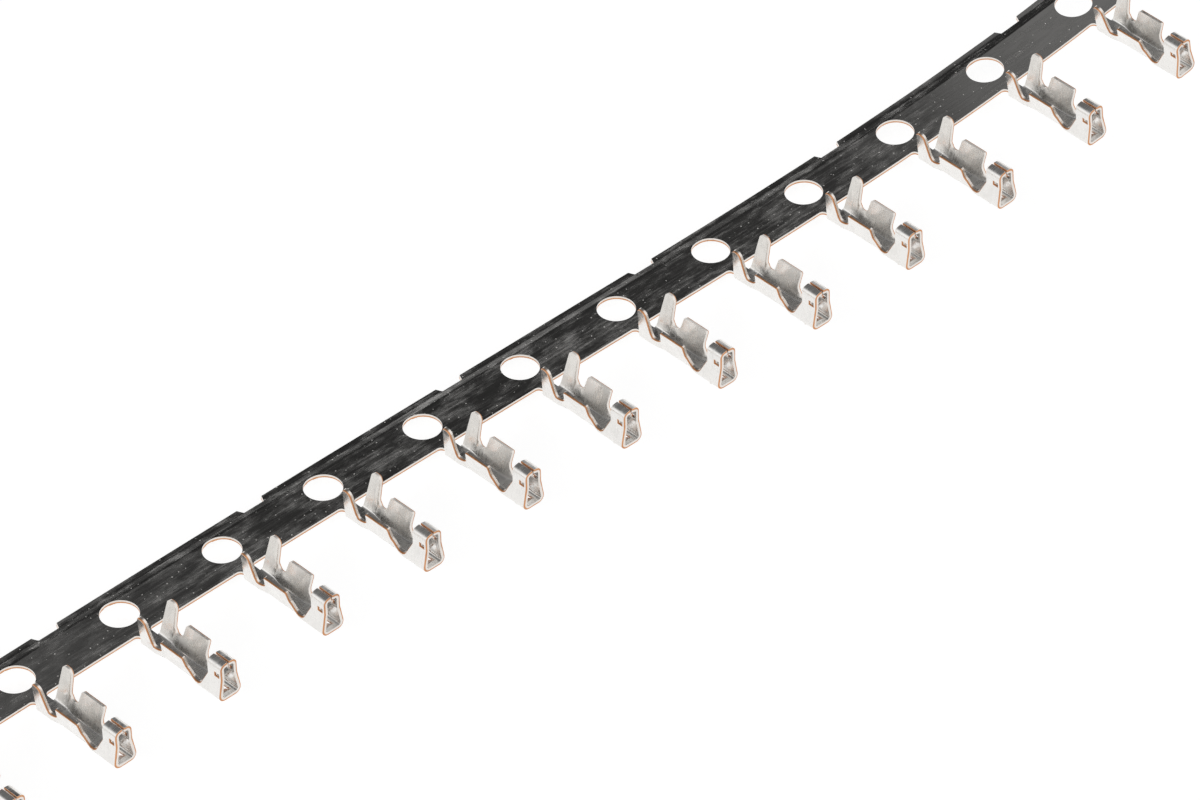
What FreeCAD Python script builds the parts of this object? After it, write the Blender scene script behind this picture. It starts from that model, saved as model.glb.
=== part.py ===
import FreeCAD, Part
import math
import os

# A stamped strip of female crimp terminals, as it comes off the reel. Carrier, tabs,
# crimp wings and sockets are one piece of tin plated phosphor bronze sheet.
# Millimetres. X runs along the strip, -Y points to the sockets, Z is up.
# The origin is the centre of the middle pilot hole, on the carrier's underside.

# The sheet and the strip
sheet = 0.16
pitch = 5.0
terminals_each_side = 6

# The set that the reel left in the strip, in degrees for each gap. The last gaps turn
# up more and more, and the first ones droop a little.
curled_gap_count = 5
first_curl_angle = 0.5
added_curl_angle = 0.6
drooping_gap_count = 5
droop_angle = 0.3
flat_land_half = 0.9

# The carrier, as distances from the line of pilot holes
pilot_hole_radius = 0.75
carrier_front = 1.32
step_start = 0.72
step_end = 1.07
carrier_rear = 1.35
step_drop = 0.08
notch_spacing = 2
rear_notch_root = 0.94
rear_notch_mouth = 1.2

# The tab that joins a terminal to the carrier
tab_half = 0.26
tab_fillet = 0.2

# The bends along the floor, common to the barrels and the socket, and the slope of the
# shears that cut the wings, in degrees. From here on, lengths are forward of the pilot hole and
# heights are above the underside.
floor_bend = 0.28
crease_count = 3
shear_angle = 12.0

# The insulation barrel
insulation_floor_half = 0.23
insulation_angle = 11.0
insulation_height = 1.76
insulation_end = 2.5
near_wing_root = 1.78
near_wing_rear = 2.0
near_wing_front = 2.37
near_wing_foot = 2.5
far_wing_root = 1.87
far_wing_rear = 2.07
far_wing_front = 2.54
far_wing_foot = 2.55
wing_root_height = 0.3
wing_rear_corner = 0.17
wing_front_corner = 0.24

# The gap between the two pairs of wings
near_gap_height = 0.5
near_gap_front = 2.97
far_gap_height = 0.56
far_gap_front = 3.06
gap_corner = 0.2

# The conductor barrel
conductor_floor_half = 0.14
conductor_angle = 18.0
conductor_start = 3.0
conductor_rear = 3.15
conductor_front = 4.36
conductor_height = 1.21
conductor_foot = 4.33
conductor_foot_height = 0.62
conductor_foot_curve = 0.3
conductor_end = 4.4

# The waist between the conductor barrel and the socket
waist_height = 0.28
waist_rear = 4.6
waist_front = 5.02
waist_curve = 0.25

# The socket
socket_start = 4.8
socket_floor_half = 0.24
socket_angle = 10.0
socket_pinch_height = 1.0
socket_height = 1.72
socket_top_bend = 0.24
flap_rise_angle = 8.0
socket_rear = 5.37
socket_front = 6.11
seam_gap = 0.08
window_rear = 5.76
window_front = 6.0
window_bottom = 1.09
window_top = 1.27

# The locking lance, cut from the socket's floor, with its free end down and back
lance_half = 0.18
lance_slot_gap = 0.03
lance_root = 5.9
lance_tip = 5.27
lance_drop = 0.32

# How far cutting shapes run past what they cut, and halves past the middle
clear = 1.0
floor_overlap = 0.1


def point(x, y, z):
    return FreeCAD.Vector(x, y, z)


def ahead(angle):
    # Unit vector in the XZ plane, at an angle in degrees from +X towards +Z.
    return point(math.cos(math.radians(angle)), 0.0, math.sin(math.radians(angle)))


def closed_face(edges):
    return Part.Face(Part.Wire(Part.__sortEdges__(edges)))


def section_side(moves, inset):
    # The corners of one face of a folded section, as runs and bends from the floor
    # outwards. A move is a run's length, or a bend's radius and turn in degrees. Each
    # bend is a few creases with short flats between them, which keeps the strip light.
    heading = 0.0
    here = point(-floor_overlap, 0, 0)
    spots = [here + ahead(90.0) * inset]
    for size, turn in moves:
        if turn == 0:
            here += ahead(heading) * size
            continue
        creases = crease_count if size else 1
        step = turn / creases
        half = math.radians(step) / 2.0
        for _ in range(creases):
            here += ahead(heading) * size * math.tan(half)
            spots.append(here + ahead(heading + 90.0 + step / 2.0) * (inset / math.cos(half)))
            heading += step
            here += ahead(heading) * size * math.tan(half)
    spots.append(here + ahead(heading + 90.0) * inset)
    return spots


def section(moves, forward):
    # Half of the folded sheet's section, standing forward of the pilot hole.
    outer = section_side(moves, 0.0)
    inner = section_side(moves, sheet)
    wire = Part.makePolygon(outer + inner[::-1] + outer[:1])
    wire.translate(point(0, -forward, 0))
    return wire


def folded(moves, rear, front):
    return Part.Face(section(moves, rear)).extrude(point(0, rear - front, 0))


def blended(rear_moves, front_moves, rear, front):
    return Part.makeLoft([section(rear_moves, rear), section(front_moves, front)], True, True)


def barrel_section(floor_half, lean):
    wall = insulation_height + clear
    return [(floor_overlap + floor_half, 0), (floor_bend, 90.0 - lean), (wall, 0)]


def socket_section():
    # The walls lean in up to the pinch and stand straight above it. The top is folded
    # over into two flaps, which still rise a little towards the seam.
    lean = math.radians(socket_angle)
    rise = math.radians(flap_rise_angle)
    lower = (socket_pinch_height - floor_bend * (1.0 + math.sin(lean))) / math.cos(lean)
    half = socket_floor_half + floor_bend * math.cos(lean) - lower * math.sin(lean)
    flap = half - socket_top_bend * (1.0 - math.sin(rise)) - seam_gap / 2.0
    bend_start = socket_height - socket_top_bend * math.cos(rise) - flap * math.tan(rise)
    return [
        (floor_overlap + socket_floor_half, 0),
        (floor_bend, 90.0 + socket_angle),
        (lower, 0),
        (0, -socket_angle),
        (bend_start - socket_pinch_height, 0),
        (socket_top_bend, 90.0 - flap_rise_angle),
        (flap / math.cos(rise), 0),
    ]


def rounded_outline(corners):
    # A face in the YZ plane from corners (forward, height, radius). A corner with a
    # radius is cut with a few creases along its arc.
    spots = [point(0, -forward, height) for forward, height, radius in corners]
    outline = []
    for i, (forward, height, radius) in enumerate(corners):
        if radius == 0:
            outline.append(spots[i])
            continue
        before = (spots[i - 1] - spots[i]).normalize()
        after = (spots[(i + 1) % len(spots)] - spots[i]).normalize()
        turn = math.pi - before.getAngle(after)
        flat = radius * math.tan(turn / (2.0 * crease_count))
        back = radius * math.tan(turn / 2.0)
        bulge = radius * (1.0 / math.cos(turn / 2.0) - 1.0 / math.cos(turn / (2.0 * crease_count)))
        outline.append(spots[i] + before * (back - flat))
        outline.append(spots[i] + (before + after).normalize() * bulge)
        outline.append(spots[i] + after * (back - flat))
    return Part.Face(Part.makePolygon(outline + outline[:1]))


def barrel_outline(wing, gap):
    # What the shears leave of one side of the barrels. It is cut square to the wings,
    # whose heights are taken on their outer face.
    root, rear, front, foot = wing
    gap_height, gap_front = gap
    lean = math.radians(shear_angle)
    bend_top = floor_bend * (1.0 - math.sin(lean))
    corners = [
        (root - sheet, -clear, 0),
        (root - sheet / 2.0, 0.0, 0),
        (root, wing_root_height, wing_root_height),
        (rear, insulation_height, wing_rear_corner),
        (front, insulation_height, wing_front_corner),
        (foot, gap_height, gap_corner),
        (gap_front, gap_height, gap_corner),
        (conductor_rear, conductor_height, 0),
        (conductor_front, conductor_height, 0),
        (conductor_foot, conductor_foot_height, conductor_foot_curve),
        (waist_rear, waist_height, waist_curve),
        (socket_start, waist_height, 0),
        (socket_start, -clear, 0),
    ]
    along_wall = [(f, (h - bend_top) / math.cos(lean), r) for f, h, r in corners]
    face = rounded_outline(along_wall)
    face.rotate(point(0, 0, 0), point(0, 1, 0), shear_angle)
    bend_end = point(insulation_floor_half + floor_bend * math.cos(lean), 0, bend_top)
    face.translate(bend_end - ahead(-shear_angle) * clear)
    return face.extrude(ahead(-shear_angle) * 2 * clear)


def socket_outline():
    corners = [
        (socket_start, -clear, 0),
        (socket_start, waist_height, 0),
        (waist_front, waist_height, waist_curve),
        (socket_rear, socket_pinch_height, 0),
        (socket_rear, socket_height + clear, 0),
        (socket_front, socket_height + clear, 0),
        (socket_front, -clear, 0),
    ]
    face = rounded_outline(corners)
    face.translate(point(-clear, 0, 0))
    return face.extrude(point(2 * clear, 0, 0))


def barrel_side():
    # Half of the barrels before they are trimmed, with the steps between the insulation
    # barrel, the narrower conductor barrel and the waist.
    insulation = barrel_section(insulation_floor_half, insulation_angle)
    conductor = barrel_section(conductor_floor_half, conductor_angle)
    waist = barrel_section(socket_floor_half, conductor_angle)
    return [
        folded(insulation, near_wing_root - clear, insulation_end),
        blended(insulation, conductor, insulation_end, conductor_start),
        folded(conductor, conductor_start, conductor_end),
        blended(conductor, waist, conductor_end, socket_start),
    ]


def lance():
    # The lance's tongue, and the slot that it leaves in the socket's floor.
    corners = [
        (lance_root + sheet, 0.0, 0),
        (lance_root + sheet, sheet, 0),
        (lance_root, sheet, 0),
        (lance_tip, sheet - lance_drop, 0),
        (lance_tip, -lance_drop, 0),
        (lance_root, 0.0, 0),
    ]
    tongue = rounded_outline(corners).extrude(point(2 * lance_half, 0, 0))
    tongue.translate(point(-lance_half, 0, 0))
    slot_half = lance_half + lance_slot_gap
    slot = Part.makeBox(2 * slot_half, lance_root - lance_tip + lance_slot_gap, 2 * sheet)
    slot.translate(point(-slot_half, -lance_root, -sheet / 2.0))
    return tongue, slot


def window():
    hole = Part.makeBox(2 * clear, window_front - window_rear, window_top - window_bottom)
    hole.translate(point(-clear, -window_front, window_bottom))
    return hole


def tab():
    # The flat neck between carrier and barrel, with its fillets at the carrier's edge.
    root = carrier_front - sheet
    wide = tab_half + tab_fillet
    centre = carrier_front + tab_fillet
    slant = tab_fillet * math.sqrt(0.5)
    tip = far_wing_root + sheet
    edges = []
    for side in (1, -1):
        start = point(side * wide, -carrier_front, 0)
        middle = point(side * (wide - slant), slant - centre, 0)
        end = point(side * tab_half, -centre, 0)
        edges.append(Part.Arc(start, middle, end).toShape())
        edges.append(Part.LineSegment(end, point(side * tab_half, -tip, 0)).toShape())
        edges.append(Part.LineSegment(start, point(side * wide, -root, 0)).toShape())
    edges.append(Part.LineSegment(point(-tab_half, -tip, 0), point(tab_half, -tip, 0)).toShape())
    edges.append(Part.LineSegment(point(-wide, -root, 0), point(wide, -root, 0)).toShape())
    return closed_face(edges).extrude(point(0, 0, sheet))


def mirrored(half):
    return half.mirror(point(0, 0, 0), point(1, 0, 0))


def terminal():
    near_wing = (near_wing_root, near_wing_rear, near_wing_front, near_wing_foot)
    far_wing = (far_wing_root, far_wing_rear, far_wing_front, far_wing_foot)
    spans = barrel_side()
    side = spans[0].fuse(spans[1:])
    far = side.common(barrel_outline(far_wing, (far_gap_height, far_gap_front)))
    near = mirrored(side.common(barrel_outline(near_wing, (near_gap_height, near_gap_front))))
    socket_half = folded(socket_section(), socket_start, socket_front).common(socket_outline())
    tongue, slot = lance()
    body = far.fuse([near, socket_half, mirrored(socket_half)]).removeSplitter().cut([slot, window()])
    return body.fuse([tongue, tab()]).removeSplitter()


def gap_turn(k):
    # The turn, in degrees, of the gap after terminal k.
    curled = k - (terminals_each_side - curled_gap_count)
    if curled >= 0:
        return first_curl_angle + added_curl_angle * curled
    return -droop_angle if k < drooping_gap_count - terminals_each_side else 0.0


def moved_along(station, length, turn):
    # The station reached from another along a straight run, or round an arc.
    x, z, tilt = station
    half = math.radians(turn) / 2.0
    chord = length * math.sin(half) / half if turn else length
    direction = ahead(tilt + turn / 2.0)
    return x + chord * direction.x, z + chord * direction.z, tilt + turn


def across_gap(station, turn, way):
    # The stations where a gap's arc starts and ends, and the terminal's beyond it. The
    # metal beside each tab stays flat. The way is 1 along the strip, or -1 back.
    arc_start = moved_along(station, way * flat_land_half, 0.0)
    arc_end = moved_along(arc_start, way * (pitch - 2 * flat_land_half), way * turn)
    return arc_start, arc_end, moved_along(arc_end, way * flat_land_half, 0.0)


def strip_stations():
    # Where each terminal stands on the underside: x, z and tilt in degrees.
    stations = {0: (0.0, 0.0, 0.0)}
    for k in range(terminals_each_side):
        stations[k + 1] = across_gap(stations[k], gap_turn(k), 1)[2]
        stations[-k - 1] = across_gap(stations[-k], gap_turn(-k - 1), -1)[2]
    return stations


def placed(shape, station):
    x, z, tilt = station
    copy = shape.copy()
    copy.rotate(point(0, 0, 0), point(0, 1, 0), -tilt)
    copy.translate(point(x, 0, z))
    return copy


def carrier_length(station, length, turn):
    # The carrier's section, swept along a straight run or round an arc.
    section = [
        (-carrier_front, 0.0),
        (step_start, 0.0),
        (step_end, -step_drop),
        (carrier_rear, -step_drop),
        (carrier_rear, sheet - step_drop),
        (step_end, sheet - step_drop),
        (step_start, sheet),
        (-carrier_front, sheet),
    ]
    face = Part.Face(Part.makePolygon([point(0, y, z) for y, z in section + section[:1]]))
    if turn == 0:
        return placed(face.extrude(point(length, 0, 0)), station)
    radius = length / math.radians(turn)
    way = math.copysign(1.0, turn)
    return placed(face.revolve(point(0, 0, radius), point(0, -way, 0), abs(turn)), station)


def pilot_hole():
    hole = Part.makeCylinder(pilot_hole_radius, 4 * sheet)
    hole.translate(point(0, 0, -sheet))
    return hole


def rear_notch():
    # The notch in the carrier's rear lip, wider at its mouth.
    root = rear_notch_root / 2.0
    mouth = rear_notch_mouth / 2.0
    corners = [
        (-root, step_end),
        (root, step_end),
        (mouth, carrier_rear),
        (mouth, carrier_rear + clear),
        (-mouth, carrier_rear + clear),
        (-mouth, carrier_rear),
    ]
    wire = Part.makePolygon([point(x, y, -clear) for x, y in corners + corners[:1]])
    return Part.Face(wire).extrude(point(0, 0, 2 * clear))


def carrier(stations):
    last = terminals_each_side
    arc = pitch - 2 * flat_land_half
    end_length = pitch / 2.0
    left_end = moved_along(stations[-last], -end_length, 0.0)
    lengths = [carrier_length(left_end, end_length, 0.0)]
    notches = []
    for k in range(-last, last):
        turn = gap_turn(k)
        arc_start, arc_end, beyond = across_gap(stations[k], turn, 1)
        lengths.append(carrier_length(stations[k], flat_land_half, 0.0))
        lengths.append(carrier_length(arc_start, arc, turn))
        lengths.append(carrier_length(arc_end, flat_land_half, 0.0))
        if (k + last) % notch_spacing == 1:
            notches.append(placed(rear_notch(), moved_along(arc_start, arc / 2.0, turn / 2.0)))
    lengths.append(carrier_length(stations[last], end_length, 0.0))
    holes = [placed(pilot_hole(), stations[k]) for k in sorted(stations)]
    return lengths[0].fuse(lengths[1:]).removeSplitter().cut(holes + notches)


os.makedirs("parts", exist_ok=True)
stations = strip_stations()
one = terminal()
strip = carrier(stations).fuse([placed(one, stations[k]) for k in sorted(stations)]).removeSplitter()
box = strip.optimalBoundingBox(False)
print("terminal", one.isValid(), len(one.Solids), round(one.Volume, 4))
print("strip", strip.isValid(), len(strip.Solids), round(strip.Volume, 3))
print("size", round(box.XLength, 3), round(box.YLength, 3), round(box.ZLength, 3))
strip.exportStep("parts/terminal_strip.step")
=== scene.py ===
import math
import bpy
from mathutils import Matrix, Vector
from mathutils.bvhtree import BVHTree


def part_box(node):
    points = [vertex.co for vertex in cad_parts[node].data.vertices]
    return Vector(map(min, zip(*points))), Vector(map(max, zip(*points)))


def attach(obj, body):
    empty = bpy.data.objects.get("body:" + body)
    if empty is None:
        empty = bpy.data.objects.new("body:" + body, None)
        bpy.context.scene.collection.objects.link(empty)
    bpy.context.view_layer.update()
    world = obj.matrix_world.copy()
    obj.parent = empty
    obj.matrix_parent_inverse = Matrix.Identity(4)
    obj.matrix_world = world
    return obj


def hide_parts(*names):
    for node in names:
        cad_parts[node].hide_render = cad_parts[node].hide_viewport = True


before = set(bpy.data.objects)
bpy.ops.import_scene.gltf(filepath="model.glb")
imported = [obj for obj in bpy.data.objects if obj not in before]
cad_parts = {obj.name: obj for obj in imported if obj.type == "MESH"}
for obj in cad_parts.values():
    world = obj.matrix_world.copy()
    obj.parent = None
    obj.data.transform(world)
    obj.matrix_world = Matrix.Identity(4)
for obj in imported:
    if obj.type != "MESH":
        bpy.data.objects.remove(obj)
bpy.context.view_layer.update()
bpy.ops.object.select_all(action="DESELECT")
print("frame loaded")

# Everything is modelled with one unit to the millimetre, and scaled to metres at the end.
metresPerMillimetre = 0.001
sameSpot = 0.001              # mm, closer than this is one place
facetTurn = 11                # degrees that each facet of a bend turns, more or less

strip = {
    "thickness": 0.16,
    "pitch": 5.0,
    "terminalsEachSide": 6,
    "landHalf": 0.9,          # flat metal beside each tab
    "firstCurl": 0.5,         # degrees in the first curled gap
    "addedCurl": 0.6,         # more in each gap after it
    "firstCurledGap": 1,
    "droop": 0.3,             # degrees in each gap at the other end
    "lastDroopingGap": -2,
    "curlJoints": 4,          # small turns that make up a gap's curl
    "smoothUnder": 24,        # degrees between faces that are shaded as one surface
}


def selectWhere(test, mode="VERT"):
    # Selects the points or edges that lie where the test says, in edit mode.
    bpy.ops.mesh.select_mode(type=mode)
    bpy.ops.mesh.select_all(action="DESELECT")
    bpy.ops.object.mode_set(mode="OBJECT")
    mesh = bpy.context.object.data
    if mode == "VERT":
        for vertex in mesh.vertices:
            vertex.select = test(vertex.co)
    else:
        for edge in mesh.edges:
            edge.select = all(test(mesh.vertices[i].co) for i in edge.vertices)
    bpy.ops.object.mode_set(mode="EDIT")


def applyAll(piece):
    bpy.context.view_layer.objects.active = piece
    for modifier in list(piece.modifiers):
        bpy.ops.object.modifier_apply(modifier=modifier.name)


def only(piece):
    bpy.ops.object.select_all(action="DESELECT")
    piece.select_set(True)
    bpy.context.view_layer.objects.active = piece


def joined(pieces, name):
    bpy.ops.object.select_all(action="DESELECT")
    for piece in pieces:
        piece.select_set(True)
    bpy.context.view_layer.objects.active = pieces[0]
    if len(pieces) > 1:
        bpy.ops.object.join()
    pieces[0].name = name
    return pieces[0]


def combined(piece, tool, operation):
    # Cuts or fuses with a Boolean, and throws the tool away.
    only(piece)
    modifier = piece.modifiers.new(operation.title(), "BOOLEAN")
    modifier.operation = operation
    modifier.object = tool
    modifier.solver = "EXACT"
    applyAll(piece)
    bpy.data.objects.remove(tool)
    return piece


def startPoint(spot, name):
    # A plane merged to one point, which extrudes into a wire.
    bpy.ops.mesh.primitive_plane_add(size=1, location=(0, 0, 0))
    piece = bpy.context.object
    piece.name = name
    bpy.ops.object.mode_set(mode="EDIT")
    bpy.ops.mesh.merge(type="CENTER")
    bpy.ops.transform.translate(value=spot)
    return piece


def extrude(x, y, z):
    bpy.ops.mesh.extrude_region_move(TRANSFORM_OT_translate={"value": (x, y, z)})


def heading(angle):
    # Unit vector in the XZ plane, in degrees from +X towards +Z.
    return Vector((math.cos(math.radians(angle)), 0, math.sin(math.radians(angle))))


def foldOn(spot, angle, moves):
    # Goes on from the selected point with runs (length, 0) and bends (radius, turn).
    for size, turn in moves:
        if turn == 0:
            step = heading(angle) * size
            extrude(*step)
            spot = spot + step
            continue
        side = math.copysign(1, turn)
        centre = spot + heading(angle + 90 * side) * size
        facets = max(2, round(abs(turn) / facetTurn))
        bpy.ops.mesh.spin(steps=facets, angle=math.radians(turn), center=centre, axis=(0, 1, 0))
        angle += turn
        spot = centre - heading(angle + 90 * side) * size
    return spot, angle


def outlinePrism(corners, depth, name):
    # A closed outline (forward, height, radius) in the YZ plane, thickened along +X.
    first = corners[0]
    piece = startPoint((0, -first[0], first[1]), name)
    for before, after in zip(corners, corners[1:]):
        extrude(0, before[0] - after[0], after[1] - before[1])
    bpy.ops.mesh.select_all(action="SELECT")
    bpy.ops.mesh.edge_face_add()
    bpy.ops.mesh.normals_make_consistent(inside=False)
    spots = [Vector((0, -forward, height)) for forward, height, radius in corners]
    for i, (forward, height, radius) in enumerate(corners):
        if radius == 0:
            continue
        spot = spots[i]
        turn = (spot - spots[i - 1]).angle(spots[(i + 1) % len(spots)] - spot)
        selectWhere(lambda co: (co - spot).length < sameSpot)
        bpy.ops.mesh.bevel(offset=radius * math.tan(turn / 2), offset_type="OFFSET",
                           segments=8, profile=0.5, affect="VERTICES")
    bpy.ops.mesh.select_all(action="SELECT")
    extrude(depth, 0, 0)
    bpy.ops.mesh.select_all(action="SELECT")
    bpy.ops.mesh.normals_make_consistent(inside=False)
    bpy.ops.object.mode_set(mode="OBJECT")
    return piece


def block(lowest, highest, name):
    middle = [(a + b) / 2 for a, b in zip(lowest, highest)]
    bpy.ops.mesh.primitive_cube_add(size=1, location=middle)
    piece = bpy.context.object
    piece.name = name
    piece.scale = [b - a for a, b in zip(lowest, highest)]
    bpy.ops.object.transform_apply(location=True, rotation=True, scale=True)
    return piece


# Lengths are forward of the pilot hole, and heights above the underside.
barrel = {
    "bend": 0.28,
    "rear": 1.35,
    "insulationFloor": 0.23,
    "insulationLean": 11,
    "insulationEnd": 2.5,
    "conductorFloor": 0.14,
    "conductorLean": 18,
    "conductorStart": 3.0,
    "conductorEnd": 4.4,
    "wallHeight": 2.4,        # before the shears
    "shearDepth": 0.38,       # how far the shears cut in from the wings' outer face
}
shears = {
    "lean": 12,
    "near": {
        "root": 1.78, "rear": 2.0, "front": 2.37,
        "foot": 2.5, "gapHeight": 0.5, "gapFront": 2.97,
    },
    "far": {
        "root": 1.87, "rear": 2.07, "front": 2.54,
        "foot": 2.55, "gapHeight": 0.59, "gapFront": 3.06,
    },
    "rootHeight": 0.3,
    "insulationHeight": 1.76,
    "rearCorner": 0.17,
    "frontCorner": 0.24,
    "gapCorner": 0.25,
    "conductor": ((3.15, 1.21, 0.1), (4.36, 1.21, 0.08), (4.33, 0.62, 0.3)),
    "waist": ((4.6, 0.28, 0.25), (5.02, 0.28, 0.25)),
    "socketCorner": 0.1,
    "start": 1.0,             # behind, below and above everything that is cut away
    "under": -0.2,
    "over": 3.5,
    "length": 3.0,            # of the shear itself, outwards
}
socket = {
    "start": 4.8,
    "overlap": 0.01,          # how far the socket's sheet runs into the barrel's
    "floor": 0.24,
    "lean": 10,
    "pinchHeight": 1.0,
    "pinchBend": 0.3,
    "height": 1.72,
    "topBend": 0.24,
    "flapRise": 8,
    "rear": 5.37,
    "front": 6.11,
    "seam": 0.08,
    "window": ((5.76, 1.09), (6.0, 1.27)),
    "windowReach": 2,
    "shearDepth": 1.2,
}
lance = {
    "half": 0.18,
    "gap": 0.03,
    "root": 5.9,
    "tip": 5.27,
    "drop": 0.32,
    "slot": (-0.1, 0.3),      # heights between which the slot is cut
}
tab = {
    "half": 0.26,
    "fillet": 0.2,
    "overlap": 0.1,           # how far the tab runs into the carrier
    "end": 2.0,               # under the barrel's floor
}
carrier = {
    "front": 1.32,
    "stepStart": 0.72,
    "stepEnd": 1.07,
    "rear": 1.35,
    "drop": 0.08,
    "stepBend": 0.06,
    "hole": 0.75,
    "notchRoot": 0.47,
    "notchMouth": 0.6,
    "punchReach": 1,          # how far the punches pass the sheet
}


def barrelSheet():
    # The outer skin of half the barrels, drawn as a wire that is pulled forward and reshaped.
    leanOut = 90 - barrel["insulationLean"]
    piece = startPoint((0, -barrel["rear"], 0), "barrelSkin")
    foldOn(Vector((0, -barrel["rear"], 0)), 0, [
        (barrel["insulationFloor"], 0),
        (barrel["bend"], leanOut),
        (barrel["wallHeight"], 0),
    ])
    bpy.ops.mesh.select_all(action="SELECT")
    extrude(0, barrel["rear"] - barrel["insulationEnd"], 0)

    extrude(0, barrel["insulationEnd"] - barrel["conductorStart"], 0)
    station = -barrel["conductorStart"]
    selectWhere(lambda co: abs(co.y - station) < sameSpot and co.x > 0.1)
    narrower = barrel["insulationFloor"] - barrel["conductorFloor"]
    bpy.ops.transform.translate(value=(-narrower, 0, 0))
    moreLean = barrel["conductorLean"] - barrel["insulationLean"]
    selectWhere(lambda co: abs(co.y - station) < sameSpot and co.z > 1)
    wallTop = (heading(leanOut - moreLean) * barrel["wallHeight"]
               - heading(leanOut) * barrel["wallHeight"])
    bpy.ops.transform.translate(value=wallTop)

    selectWhere(lambda co: abs(co.y - station) < sameSpot)
    extrude(0, barrel["conductorStart"] - barrel["conductorEnd"], 0)
    extrude(0, barrel["conductorEnd"] - socket["start"], 0)
    station = -socket["start"]
    selectWhere(lambda co: abs(co.y - station) < sameSpot and co.x > 0.1)
    bpy.ops.transform.translate(value=(socket["floor"] - barrel["conductorFloor"], 0, 0))
    bpy.ops.object.mode_set(mode="OBJECT")
    return piece


def socketSheet():
    # The outer skin of half the socket: in to the pinch, straight up, and over to the seam.
    leanOut = 90 - barrel["insulationLean"]
    leanIn = 90 + socket["lean"]
    lower = socket["pinchHeight"] - barrel["bend"] * (1 + math.sin(math.radians(socket["lean"])))
    start = socket["start"] - socket["overlap"]
    piece = startPoint((0, -start, 0), "socketSkin")
    spot, angle = foldOn(Vector((0, -start, 0)), 0, [
        (socket["floor"], 0),
        (barrel["bend"], leanOut),
        (barrel["bend"], leanIn - leanOut),
        (lower / math.cos(math.radians(socket["lean"])), 0),
        (socket["pinchBend"], -socket["lean"]),
    ])
    rise = math.radians(socket["flapRise"])
    flap = spot.x - socket["topBend"] * (1 - math.sin(rise)) - socket["seam"] / 2
    wallEnd = socket["height"] - socket["topBend"] * math.cos(rise) - flap * math.tan(rise)
    foldOn(spot, angle, [
        (wallEnd - spot.z, 0),
        (socket["topBend"], 90 - socket["flapRise"]),
        (flap / math.cos(rise), 0),
    ])
    bpy.ops.mesh.select_all(action="SELECT")
    extrude(0, start - socket["front"], 0)
    bpy.ops.object.mode_set(mode="OBJECT")
    return piece


def mirroredSheet(piece):
    only(piece)
    bpy.ops.object.mode_set(mode="EDIT")
    bpy.ops.mesh.select_all(action="SELECT")
    bpy.ops.mesh.remove_doubles(threshold=sameSpot)
    bpy.ops.mesh.normals_make_consistent(inside=False)
    bpy.ops.object.mode_set(mode="OBJECT")
    modifier = piece.modifiers.new("Mirror", "MIRROR")
    modifier.use_axis[0] = True
    modifier.merge_threshold = sameSpot
    applyAll(piece)
    floorFace = min(piece.data.polygons, key=lambda face: face.center.z)
    if floorFace.normal.z > 0:
        bpy.ops.object.mode_set(mode="EDIT")
        bpy.ops.mesh.select_all(action="SELECT")
        bpy.ops.mesh.flip_normals()
        bpy.ops.object.mode_set(mode="OBJECT")
    return piece


def thickened(piece):
    modifier = piece.modifiers.new("Solidify", "SOLIDIFY")
    modifier.thickness = strip["thickness"]
    modifier.offset = -1
    modifier.use_even_offset = True
    applyAll(piece)
    return piece


def wingShear(side, wing, depth):
    # What is sheared off one side, square to the wings. Heights are taken on their outer
    # face, and the shear cuts in from it to the depth.
    lean = math.radians(shears["lean"])
    turnEnd = Vector((barrel["insulationFloor"] + barrel["bend"] * math.cos(lean), 0,
                      barrel["bend"] * (1 - math.sin(lean))))
    root = wing["root"]
    corners = [
        (shears["start"], shears["under"], 0),
        (root - strip["thickness"], shears["under"], 0),
        (root - strip["thickness"] / 2, 0.0, 0),
        (root, shears["rootHeight"], shears["rootHeight"]),
        (wing["rear"], shears["insulationHeight"], shears["rearCorner"]),
        (wing["front"], shears["insulationHeight"], shears["frontCorner"]),
        (wing["foot"], wing["gapHeight"], shears["gapCorner"]),
        (wing["gapFront"], wing["gapHeight"], shears["gapCorner"]),
        *shears["conductor"],
        *shears["waist"],
    ]
    corners = [(f, (h - turnEnd.z) / math.cos(lean), r) for f, h, r in corners]
    # The socket's wall leans the other way, so its rear corner lies lower along the shear
    inset = (socket["pinchHeight"] - barrel["bend"]) * math.tan(math.radians(socket["lean"]))
    pinchIn = socket["floor"] + barrel["bend"] - inset - turnEnd.x
    pinchUp = (socket["pinchHeight"] - turnEnd.z) * math.cos(lean) + pinchIn * math.sin(lean)
    corners += [
        (socket["rear"], pinchUp, shears["socketCorner"]),
        (socket["rear"], shears["over"], 0),
        (shears["start"], shears["over"], 0),
    ]
    piece = outlinePrism(corners, shears["length"], "shear")
    piece.data.transform(Matrix.Translation((-depth, 0, 0)))
    piece.data.transform(Matrix.Rotation(lean, 4, "Y"))
    piece.data.transform(Matrix.Translation(turnEnd))
    if side < 0:
        piece.data.transform(Matrix.Diagonal((-1, 1, 1, 1)))
        piece.data.flip_normals()
    return piece


def lanceTongue():
    t = strip["thickness"]
    corners = [
        (lance["root"] + t, 0.0, 0),
        (lance["root"] + t, t, 0),
        (lance["root"], t, 0),
        (lance["tip"], t - lance["drop"], 0),
        (lance["tip"], -lance["drop"], 0),
        (lance["root"], 0.0, 0),
    ]
    piece = outlinePrism(corners, 2 * lance["half"], "lanceTongue")
    piece.data.transform(Matrix.Translation((-lance["half"], 0, 0)))
    return piece


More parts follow.
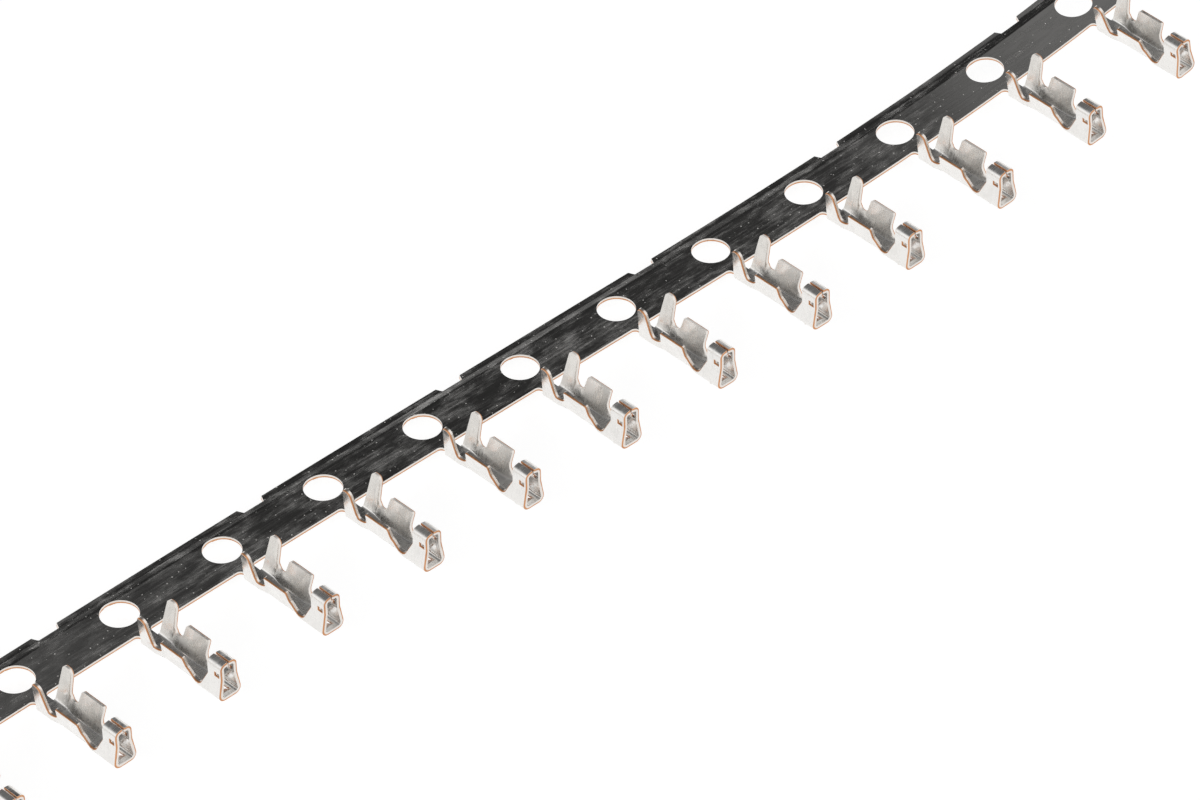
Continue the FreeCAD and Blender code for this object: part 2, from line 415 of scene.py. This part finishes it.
def tabPlate():
    t = strip["thickness"]
    wide = tab["half"] + tab["fillet"]
    reach = carrier["front"] + tab["fillet"]
    piece = block((-wide, -reach, 0), (wide, -carrier["front"] + tab["overlap"], t), "tab")
    neck = block((-tab["half"], -tab["end"], 0), (tab["half"], -carrier["front"], t), "neck")
    fillets = []
    for side in (-1, 1):
        bpy.ops.mesh.primitive_cylinder_add(vertices=48, radius=tab["fillet"], depth=1,
                                            location=(side * wide, -reach, 0))
        bpy.ops.object.transform_apply(location=True, rotation=True, scale=True)
        fillets.append(bpy.context.object)
    combined(piece, joined(fillets, "fillets"), "DIFFERENCE")
    return combined(piece, neck, "UNION")


def sheetMetal(skin, shearDepth):
    # A skin's copy with the sheet's thickness, sheared to its outline.
    only(skin)
    bpy.ops.object.duplicate()
    piece = thickened(bpy.context.object)
    combined(piece, wingShear(1, shears["far"], shearDepth), "DIFFERENCE")
    return combined(piece, wingShear(-1, shears["near"], shearDepth), "DIFFERENCE")


barrelSkin = mirroredSheet(barrelSheet())
socketSkin = mirroredSheet(socketSheet())
terminal = sheetMetal(barrelSkin, barrel["shearDepth"])
terminal.name = "terminal"
socketPiece = sheetMetal(socketSkin, socket["shearDepth"])
(windowRear, windowBottom), (windowFront, windowTop) = socket["window"]
window = block((-socket["windowReach"], -windowFront, windowBottom),
               (socket["windowReach"], -windowRear, windowTop), "window")
combined(socketPiece, window, "DIFFERENCE")
slotHalf = lance["half"] + lance["gap"]
slot = block((-slotHalf, -lance["root"], lance["slot"][0]),
             (slotHalf, -lance["tip"] + lance["gap"], lance["slot"][1]), "slot")
combined(socketPiece, slot, "DIFFERENCE")
combined(socketPiece, lanceTongue(), "UNION")
combined(terminal, tabPlate(), "UNION")
combined(terminal, socketPiece, "UNION")


def shearedSkin():
    # The outer skin that is left of a terminal. The trough's rear end is sheared off down
    # to the flat tab.
    end = shears["near"]["root"] - strip["thickness"]
    wide = tab["half"] + tab["fillet"]
    only(barrelSkin)
    bpy.ops.object.mode_set(mode="EDIT")
    bpy.ops.mesh.select_all(action="SELECT")
    bpy.ops.mesh.bisect(plane_co=(0, -end, 0), plane_no=(0, 1, 0), clear_outer=True)
    bpy.ops.object.mode_set(mode="OBJECT")
    bpy.ops.mesh.primitive_plane_add(size=1, location=(0, -(carrier["front"] + end) / 2, 0))
    under = bpy.context.object
    under.scale = (2 * wide, end - carrier["front"], 1)
    bpy.ops.object.transform_apply(location=True, rotation=True, scale=True)
    return joined([barrelSkin, socketSkin, under], "skin")


skin = shearedSkin()
print("terminal folded:", len(terminal.data.polygons), "faces")


def carrierSkin():
    half = strip["pitch"] * (strip["terminalsEachSide"] + 0.5)
    bpy.ops.mesh.primitive_plane_add(size=1, location=(0, 0, 0))
    piece = bpy.context.object
    piece.name = "carrierSkin"
    middle = (carrier["rear"] - carrier["front"]) / 2
    piece.scale = (2 * half, carrier["rear"] + carrier["front"], 1)
    piece.location = (0, middle, 0)
    bpy.ops.object.transform_apply(location=True, rotation=True, scale=True)
    bpy.ops.object.mode_set(mode="EDIT")
    for place in (carrier["stepStart"], carrier["stepEnd"]):
        bpy.ops.mesh.select_all(action="SELECT")
        bpy.ops.mesh.bisect(plane_co=(0, place, 0), plane_no=(0, 1, 0))
    selectWhere(lambda co: co.y > carrier["stepEnd"] - 0.01)
    bpy.ops.transform.translate(value=(0, 0, -carrier["drop"]))
    for place in (carrier["stepStart"], carrier["stepEnd"]):
        selectWhere(lambda co: abs(co.y - place) < 0.01, "EDGE")
        bpy.ops.mesh.bevel(offset=carrier["stepBend"], segments=3, affect="EDGES")
    bpy.ops.mesh.select_all(action="SELECT")
    bpy.ops.mesh.normals_make_consistent(inside=False)
    bpy.ops.object.mode_set(mode="OBJECT")
    if piece.data.polygons[0].normal.z > 0:
        piece.data.flip_normals()
    return piece


def carrierPunches():
    # The pilot holes, and the notches in every second gap.
    last = strip["terminalsEachSide"]
    reach = carrier["punchReach"]
    punches = []
    for k in range(-last, last + 1):
        bpy.ops.mesh.primitive_cylinder_add(vertices=72, radius=carrier["hole"], depth=2 * reach,
                                            location=(k * strip["pitch"], 0, 0))
        bpy.ops.object.transform_apply(location=True, rotation=True, scale=True)
        punches.append(bpy.context.object)
    for k in range(1 - last, last, 2):
        middle = (k + 0.5) * strip["pitch"]
        root = carrier["notchRoot"]
        notch = block((middle - root, carrier["stepEnd"], -reach),
                      (middle + root, carrier["rear"] + reach, reach), "notch")
        bpy.ops.object.mode_set(mode="EDIT")
        selectWhere(lambda co: co.y > carrier["rear"])
        lip = carrier["rear"] - carrier["stepEnd"]
        grow = 1 + (carrier["notchMouth"] / root - 1) * (reach + lip) / lip
        bpy.ops.transform.resize(value=(grow, 1, 1), center_override=(middle, 0, 0))
        bpy.ops.object.mode_set(mode="OBJECT")
        punches.append(notch)
    return joined(punches, "carrierPunches")


carrierPiece = carrierSkin()
only(carrierPiece)
bpy.ops.object.duplicate()
carrierUnderside = bpy.context.object
only(carrierPiece)
thickened(carrierPiece)
combined(carrierPiece, carrierPunches(), "DIFFERENCE")


def repeated(piece):
    # One copy of a piece for every terminal, each with its own mesh.
    copies = []
    for k in range(-strip["terminalsEachSide"], strip["terminalsEachSide"] + 1):
        only(piece)
        bpy.ops.object.duplicate()
        copy = bpy.context.object
        copy.data.transform(Matrix.Translation((k * strip["pitch"], 0, 0)))
        copies.append(copy)
    bpy.data.objects.remove(piece)
    return copies


terminals = joined(repeated(terminal), "terminals")
combined(carrierPiece, terminals, "UNION")
outerSkin = joined([carrierUnderside] + repeated(skin), "outerSkin")
print("strip fused:", len(carrierPiece.data.polygons), "faces")


burrs = {
    "width": 0.022,           # bare metal that shows round the outer rims
    "sharp": 60,              # degrees over which an edge is a rim
    "shortest": 0.009,        # shorter edges are merged away first
    "offSkin": 0.002,         # how far a rim may lie from the outer skin
    "stray": 0.005,           # how far a new corner may lie from the sheet
}


def burredRims(piece, outer):
    # A narrow bevel along the outer rims, where the shears broke through the sheet.
    skinTree = BVHTree.FromObject(outer, bpy.context.evaluated_depsgraph_get())
    only(piece)
    bpy.ops.object.mode_set(mode="EDIT")
    bpy.ops.mesh.select_mode(type="EDGE")
    bpy.ops.mesh.select_all(action="SELECT")
    bpy.ops.mesh.remove_doubles(threshold=burrs["shortest"])
    bpy.ops.mesh.dissolve_degenerate(threshold=burrs["shortest"])
    bpy.ops.mesh.select_all(action="DESELECT")
    bpy.ops.mesh.edges_select_sharp(sharpness=math.radians(burrs["sharp"]))
    bpy.ops.object.mode_set(mode="OBJECT")
    mesh = piece.data
    onSkin = [skinTree.find_nearest(v.co)[3] < burrs["offSkin"] for v in mesh.vertices]
    for edge in mesh.edges:
        edge.select = edge.select and all(onSkin[i] for i in edge.vertices)
    rims = sum(edge.select for edge in mesh.edges)
    sharpTree = BVHTree.FromObject(piece, bpy.context.evaluated_depsgraph_get())
    bpy.ops.object.mode_set(mode="EDIT")
    bpy.ops.mesh.bevel(offset=burrs["width"], segments=1, affect="EDGES", clamp_overlap=False,
                       loop_slide=False)
    bpy.ops.object.mode_set(mode="OBJECT")
    # A corner that the bevel threw off the sheet goes back onto it
    for vertex in mesh.vertices:
        spot, _, _, distance = sharpTree.find_nearest(vertex.co)
        if distance > burrs["stray"]:
            vertex.co = spot
    print("burrs along", rims, "rims")


burredRims(carrierPiece, outerSkin)


def gapTurn(k):
    # Degrees that the strip turns between terminal k and the next.
    if k >= strip["firstCurledGap"]:
        return strip["firstCurl"] + strip["addedCurl"] * (k - strip["firstCurledGap"])
    return -strip["droop"] if k <= strip["lastDroopingGap"] else 0


def curled(piece):
    # Small turns across each gap, from the ends inwards, so that what lies beyond follows.
    only(piece)
    bpy.ops.object.mode_set(mode="EDIT")
    last = strip["terminalsEachSide"]
    gaps = sorted(range(-last, last), key=lambda k: -abs(k + 0.5))
    arc = strip["pitch"] - 2 * strip["landHalf"]
    joints = strip["curlJoints"]
    for k in gaps:
        turn = gapTurn(k)
        if turn == 0:
            continue
        way = 1 if k >= 0 else -1
        start = k * strip["pitch"] + strip["landHalf"]
        places = [start + arc * (i + 0.5) / joints for i in range(joints)]
        for place in sorted(places, reverse=way > 0):
            bpy.ops.mesh.select_all(action="SELECT")
            bpy.ops.mesh.bisect(plane_co=(place, 0, 0), plane_no=(1, 0, 0))
            selectWhere(lambda co: way * (co.x - place) > 0.0001)
            angle = math.radians(turn) / joints * way
            bpy.ops.transform.rotate(value=angle, orient_axis="Y", center_override=(place, 0, 0))
    bpy.ops.object.mode_set(mode="OBJECT")
    return piece


curled(carrierPiece)
curled(outerSkin)
ends = [max(carrierPiece.data.vertices, key=lambda v: way * v.co.x).co for way in (1, -1)]
print("ends:", [tuple(round(c, 3) for c in end) for end in ends])

terminalStrip = carrierPiece
terminalStrip.name = "tinned_terminal_strip"


def markThickness(piece, outer):
    # How deep each point lies in the sheet: 0 on the outer skin, 1 on the inner one.
    skinTree = BVHTree.FromObject(outer, bpy.context.evaluated_depsgraph_get())
    depth = piece.data.attributes.new("sheetDepth", "FLOAT", "POINT")
    for i, vertex in enumerate(piece.data.vertices):
        distance = skinTree.find_nearest(vertex.co)[3]
        depth.data[i].value = min(1, distance / strip["thickness"])
    bpy.data.objects.remove(outer)


markThickness(terminalStrip, outerSkin)
only(terminalStrip)
terminalStrip.data.transform(Matrix.Scale(metresPerMillimetre, 4))
bpy.ops.object.mode_set(mode="EDIT")
bpy.ops.mesh.select_all(action="SELECT")
bpy.ops.mesh.quads_convert_to_tris()
bpy.ops.object.mode_set(mode="OBJECT")
bpy.ops.object.shade_smooth_by_angle(angle=math.radians(strip["smoothUnder"]))
modifier = terminalStrip.modifiers.new("WeightedNormal", "WEIGHTED_NORMAL")
modifier.keep_sharp = True
applyAll(terminalStrip)
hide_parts("terminal_strip")
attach(terminalStrip, "root")
print("strip finished:", len(terminalStrip.data.polygons), "triangles")


def hexColour(text):
    # A written sRGB colour as the linear one that shaders take.
    values = [int(text[i:i + 2], 16) / 255 for i in (1, 3, 5)]
    linear = [v / 12.92 if v <= 0.04045 else ((v + 0.055) / 1.055) ** 2.4 for v in values]
    return (*linear, 1)


def addNode(tree, kind, settings=None, inputs=None):
    # Adds a node, with its settings, and values or links on its inputs.
    node = tree.nodes.new(kind)
    for key, value in (settings or {}).items():
        setattr(node, key, value)
    for key, value in (inputs or {}).items():
        if isinstance(value, bpy.types.NodeSocket):
            tree.links.new(value, node.inputs[key])
        else:
            node.inputs[key].default_value = value
    return node


def emptyMaterial(name):
    material = bpy.data.materials.new(name)
    material.use_nodes = True
    material.node_tree.nodes.clear()
    return material, material.node_tree


def maths(tree, operation, *values, clamp=False):
    settings = {"operation": operation, "use_clamp": clamp}
    return addNode(tree, "ShaderNodeMath", settings, dict(enumerate(values))).outputs[0]


def spread(tree, value, ends, results=(0.0, 1.0)):
    # Where a value lies between two ends, spread over the results.
    return addNode(tree, "ShaderNodeMapRange", inputs={
        "Value": value, "From Min": ends[0], "From Max": ends[1],
        "To Min": results[0], "To Max": results[1]}).outputs[0]


def scaled(tree, vector, scale):
    return addNode(tree, "ShaderNodeMapping", inputs={"Vector": vector, "Scale": scale}).outputs[0]


# Positions are in mm, and shares of the sheet's thickness are counted from its outer skin
finish = {
    "tin": "#efedea",
    "smearedTin": "#e6e0da",
    "bronze": "#d49e74",
    "carrierBronze": 0.54,    # share of a sheared edge that shows bare bronze
    "nearBronze": 0.48,
    "farBronze": 0.36,
    "farSide": (0.24, 0.42),  # across a terminal, between its near and far walls
    "barrelEdges": (-1.4, -1.7),
    "raggedness": 0.10,
    "raggedScale": 5.0,
    "borderWidth": 0.06,
    "outerPlate": (0.01, 0.03),
    "innerPlate": (0.99, 0.96),
    "shine": 0.07,            # roughness of clean plate
    "formed": 0.10,           # roughness that forming adds on the terminals
    "formedEdge": (-1.35, -1.75),
    "haze": 0.36,             # roughness added by handling haze
    "hazeSize": 0.55,
    "hazeStretch": (0.35, 1.0, 1.0),
    "hazeLevels": (0.44, 0.78),
    "streakWidth": 0.05,
    "streakStretch": (0.03, 1.0, 0.03),
    "streakLevels": (0.48, 0.8),
    "streakHaze": 0.6,        # the most haze that a streak brings
    "speckSpacing": 0.36,
    "speckRim": (0.09, 0.05),
    "speckChoice": (0.55, 0.95),
    "speckEdge": (-1.36, -1.3),
    "speckRoughness": 0.6,
    "tornRoughness": 0.3,
    "grain": (0.25, 0.000004),      # strength, and height in metres
    "ripple": (0.12, 0.00001),
}


def sheetZones(tree, millimetres, x, y):
    # How far a point is bare bronze, and how far it lies on a sheared edge. The border
    # between smeared tin and torn bronze wanders, and lies deeper on the near walls than
    # on the far ones.
    depth = addNode(tree, "ShaderNodeAttribute", {"attribute_name": "sheetDepth"}).outputs["Fac"]
    tear = addNode(tree, "ShaderNodeTexNoise", inputs={
        "Vector": millimetres, "Scale": finish["raggedScale"], "Detail": 3.0})
    wander = maths(tree, "MULTIPLY_ADD", tear.outputs["Fac"], 2 * finish["raggedness"],
                   -finish["raggedness"])
    across = maths(tree, "WRAP", x, strip["pitch"] / 2, -strip["pitch"] / 2)
    onBarrel = spread(tree, across, finish["farSide"], (finish["nearBronze"], finish["farBronze"]))
    share = spread(tree, y, finish["barrelEdges"], (finish["carrierBronze"], onBarrel))
    border = maths(tree, "ADD", share, wander)
    torn = spread(tree, maths(tree, "SUBTRACT", border, depth), (0.0, finish["borderWidth"]))
    offSkin = spread(tree, depth, finish["outerPlate"])
    inside = spread(tree, depth, finish["innerPlate"])
    return maths(tree, "MULTIPLY", torn, offSkin), maths(tree, "MULTIPLY", offSkin, inside)


def dustSpecks(tree, millimetres, y):
    # Small bright grains, on the carrier only.
    cells = addNode(tree, "ShaderNodeTexVoronoi", {"voronoi_dimensions": "2D"}, {
        "Vector": millimetres, "Scale": 1 / finish["speckSpacing"]})
    spot = spread(tree, cells.outputs["Distance"], finish["speckRim"])
    pick = addNode(tree, "ShaderNodeSeparateColor", inputs={0: cells.outputs["Color"]})
    chosen = spread(tree, pick.outputs[0], finish["speckChoice"])
    onCarrier = spread(tree, y, finish["speckEdge"])
    return maths(tree, "MULTIPLY", maths(tree, "MULTIPLY", spot, chosen), onCarrier)


def brightTinOverBronze():
    # Bright tin plate on phosphor bronze sheet: mirrors softly through rolling streaks,
    # handling haze and specks, and shows orange metal on the outer part of sheared edges.
    material, tree = emptyMaterial("brightTinOverBronze")
    place = addNode(tree, "ShaderNodeTexCoord")
    millimetres = scaled(tree, place.outputs["Object"], 3 * (1 / metresPerMillimetre,))
    split = addNode(tree, "ShaderNodeSeparateXYZ", inputs={0: millimetres})
    x, y = split.outputs["X"], split.outputs["Y"]
    bronze, sheared = sheetZones(tree, millimetres, x, y)

    # Rolling streaks run along the strip, and so up the folded walls
    streaks = addNode(tree, "ShaderNodeTexNoise", inputs={
        "Vector": scaled(tree, millimetres, finish["streakStretch"]),
        "Scale": 0.5 / finish["streakWidth"], "Detail": 4.0, "Roughness": 0.7})
    clouds = addNode(tree, "ShaderNodeTexNoise", inputs={
        "Vector": scaled(tree, millimetres, finish["hazeStretch"]),
        "Scale": 1 / finish["hazeSize"], "Detail": 9.0, "Roughness": 0.72})
    hazy = spread(tree, clouds.outputs["Fac"], finish["hazeLevels"])
    drawn = spread(tree, streaks.outputs["Fac"], finish["streakLevels"],
                   (0.0, finish["streakHaze"]))
    worn = maths(tree, "ADD", hazy, drawn, clamp=True)

    # The presses' tools left the folded metal duller than the carrier
    roughness = spread(tree, y, finish["formedEdge"],
                       (finish["shine"], finish["shine"] + finish["formed"]))
    roughness = maths(tree, "MULTIPLY_ADD", worn, finish["haze"], roughness)
    roughness = maths(tree, "MULTIPLY_ADD", dustSpecks(tree, millimetres, y),
                      finish["speckRoughness"], roughness)
    roughness = maths(tree, "MULTIPLY_ADD", bronze, finish["tornRoughness"], roughness, clamp=True)

    plate = addNode(tree, "ShaderNodeMix", {"data_type": "RGBA"}, {
        "Factor": sheared,
        "A": hexColour(finish["tin"]),
        "B": hexColour(finish["smearedTin"]),
    })
    colour = addNode(tree, "ShaderNodeMix", {"data_type": "RGBA"}, {
        "Factor": bronze,
        "A": plate.outputs["Result"],
        "B": hexColour(finish["bronze"]),
    })
    grain = addNode(tree, "ShaderNodeBump", inputs={
        "Height": streaks.outputs["Fac"], "Strength": finish["grain"][0],
        "Distance": finish["grain"][1]})
    ripple = addNode(tree, "ShaderNodeBump", inputs={
        "Height": clouds.outputs["Fac"], "Strength": finish["ripple"][0],
        "Distance": finish["ripple"][1], "Normal": grain.outputs[0]})
    shader = addNode(tree, "ShaderNodeBsdfPrincipled", inputs={
        "Base Color": colour.outputs["Result"],
        "Metallic": 1.0,
        "Roughness": roughness,
        "Normal": ripple.outputs[0],
    })
    addNode(tree, "ShaderNodeOutputMaterial", inputs={"Surface": shader.outputs["BSDF"]})
    return material


terminalStrip.data.materials.clear()
terminalStrip.data.materials.append(brightTinOverBronze())

# Stage: a white table in a light tent, with the tent's dark opening behind the strip
table = {
    "size": 6,                # metres
    "card": "#9c9c9c",
    "glow": 0.8,
}
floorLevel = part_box("terminal_strip")[0].z
bpy.ops.mesh.primitive_plane_add(size=table["size"], location=(0, 0, floorLevel))
floor = bpy.context.object
floor.name = "table_top"


def whiteTable():
    # Matt white card, which the camera and the metal see overexposed.
    material, tree = emptyMaterial("whiteTable")
    rays = addNode(tree, "ShaderNodeLightPath")
    seen = maths(tree, "MAXIMUM", rays.outputs["Is Camera Ray"], rays.outputs["Is Glossy Ray"])
    seen = maths(tree, "MAXIMUM", seen, rays.outputs["Is Transmission Ray"])
    card = addNode(tree, "ShaderNodeBsdfDiffuse", inputs={"Color": hexColour(table["card"])})
    glow = addNode(tree, "ShaderNodeEmission",
                   inputs={"Color": (1, 1, 1, 1), "Strength": table["glow"]})
    lit = addNode(tree, "ShaderNodeAddShader", inputs={0: card.outputs[0], 1: glow.outputs[0]})
    both = addNode(tree, "ShaderNodeMixShader",
                   inputs={0: seen, 1: card.outputs[0], 2: lit.outputs[0]})
    addNode(tree, "ShaderNodeOutputMaterial", inputs={"Surface": both.outputs[0]})
    return material


floor.data.materials.append(whiteTable())

# Brightness by degrees away from the middle of each dark part of the tent
tent = {
    "opening": (0.42, 0.68, 0.55),
    "openingShades": ((0, 0.018), (10, 0.022), (13, 0.05), (16, 0.10), (20, 0.35), (27, 1.0)),
    "openingTop": (0.655, 0.72),      # upward part of the direction, where the opening ends
    "aboveOpening": 0.15,
    "ceiling": (0.10, 0.45, 0.89),
    "ceilingShades": ((0, 0.13), (24, 0.15), (34, 0.25), (47, 0.7), (56, 1.0)),
    "widest": 60,                     # degrees at which the shades' scale ends
    "strength": 1.05,
}


def shadeAround(tree, view, towards, shades):
    # A grey that grows with the angle away from one direction.
    nearness = addNode(tree, "ShaderNodeVectorMath", {"operation": "DOT_PRODUCT"},
                       {0: view, 1: Vector(towards).normalized()})
    angle = maths(tree, "ARCCOSINE", nearness.outputs["Value"])
    share = maths(tree, "DIVIDE", angle, math.radians(tent["widest"]))
    shade = addNode(tree, "ShaderNodeValToRGB", inputs={"Fac": share})
    ramp = shade.color_ramp
    for i, (degrees, level) in enumerate(shades):
        position = degrees / tent["widest"]
        stop = ramp.elements[i] if i < 2 else ramp.elements.new(position)
        stop.position = position
        stop.color = (level, level, level, 1)
    return shade.outputs["Color"]


def tentLight():
    # White all round, with a dark opening behind the strip, which flat metal mirrors, a
    # border above it that the curled end mirrors, and a grey ceiling over them.
    world = bpy.data.worlds.new("lightTent")
    bpy.context.scene.world = world
    world.use_nodes = True
    tree = world.node_tree
    tree.nodes.clear()
    view = addNode(tree, "ShaderNodeTexCoord").outputs["Generated"]
    upward = addNode(tree, "ShaderNodeSeparateXYZ", inputs={0: view})
    above = spread(tree, upward.outputs["Z"], tent["openingTop"], (0.0, tent["aboveOpening"]))
    opening = addNode(tree, "ShaderNodeMix", {"data_type": "RGBA", "blend_type": "LIGHTEN"}, {
        "Factor": 1.0,
        "A": shadeAround(tree, view, tent["opening"], tent["openingShades"]),
        "B": above,
    })
    darker = addNode(tree, "ShaderNodeMix", {"data_type": "RGBA", "blend_type": "DARKEN"}, {
        "Factor": 1.0,
        "A": opening.outputs["Result"],
        "B": shadeAround(tree, view, tent["ceiling"], tent["ceilingShades"]),
    })
    light = addNode(tree, "ShaderNodeBackground", inputs={
        "Color": darker.outputs["Result"], "Strength": tent["strength"]})
    addNode(tree, "ShaderNodeOutputWorld", inputs={"Surface": light.outputs[0]})


tentLight()

camera = {
    "lens": 252.06,
    "sensor": 36.0,
    "place": (-163.97, -180.97, 202.02),      # mm
    "right": (0.72574, -0.68786, -0.01224),
    "down": (-0.44730, -0.45827, -0.76806),
    "forward": (0.52270, 0.56289, -0.64026),
    "clip": (0.01, 20),       # metres
}
bpy.ops.object.camera_add(location=Vector(camera["place"]) * metresPerMillimetre)
photoCamera = bpy.context.object
photoCamera.name = "photo_camera"
rows = Matrix((camera["right"], -Vector(camera["down"]), -Vector(camera["forward"])))
photoCamera.rotation_euler = rows.transposed().to_euler()
photoCamera.data.lens = camera["lens"]
photoCamera.data.sensor_width = camera["sensor"]
photoCamera.data.clip_start, photoCamera.data.clip_end = camera["clip"]
bpy.context.scene.camera = photoCamera
bpy.context.scene.view_settings.view_transform = "Standard"
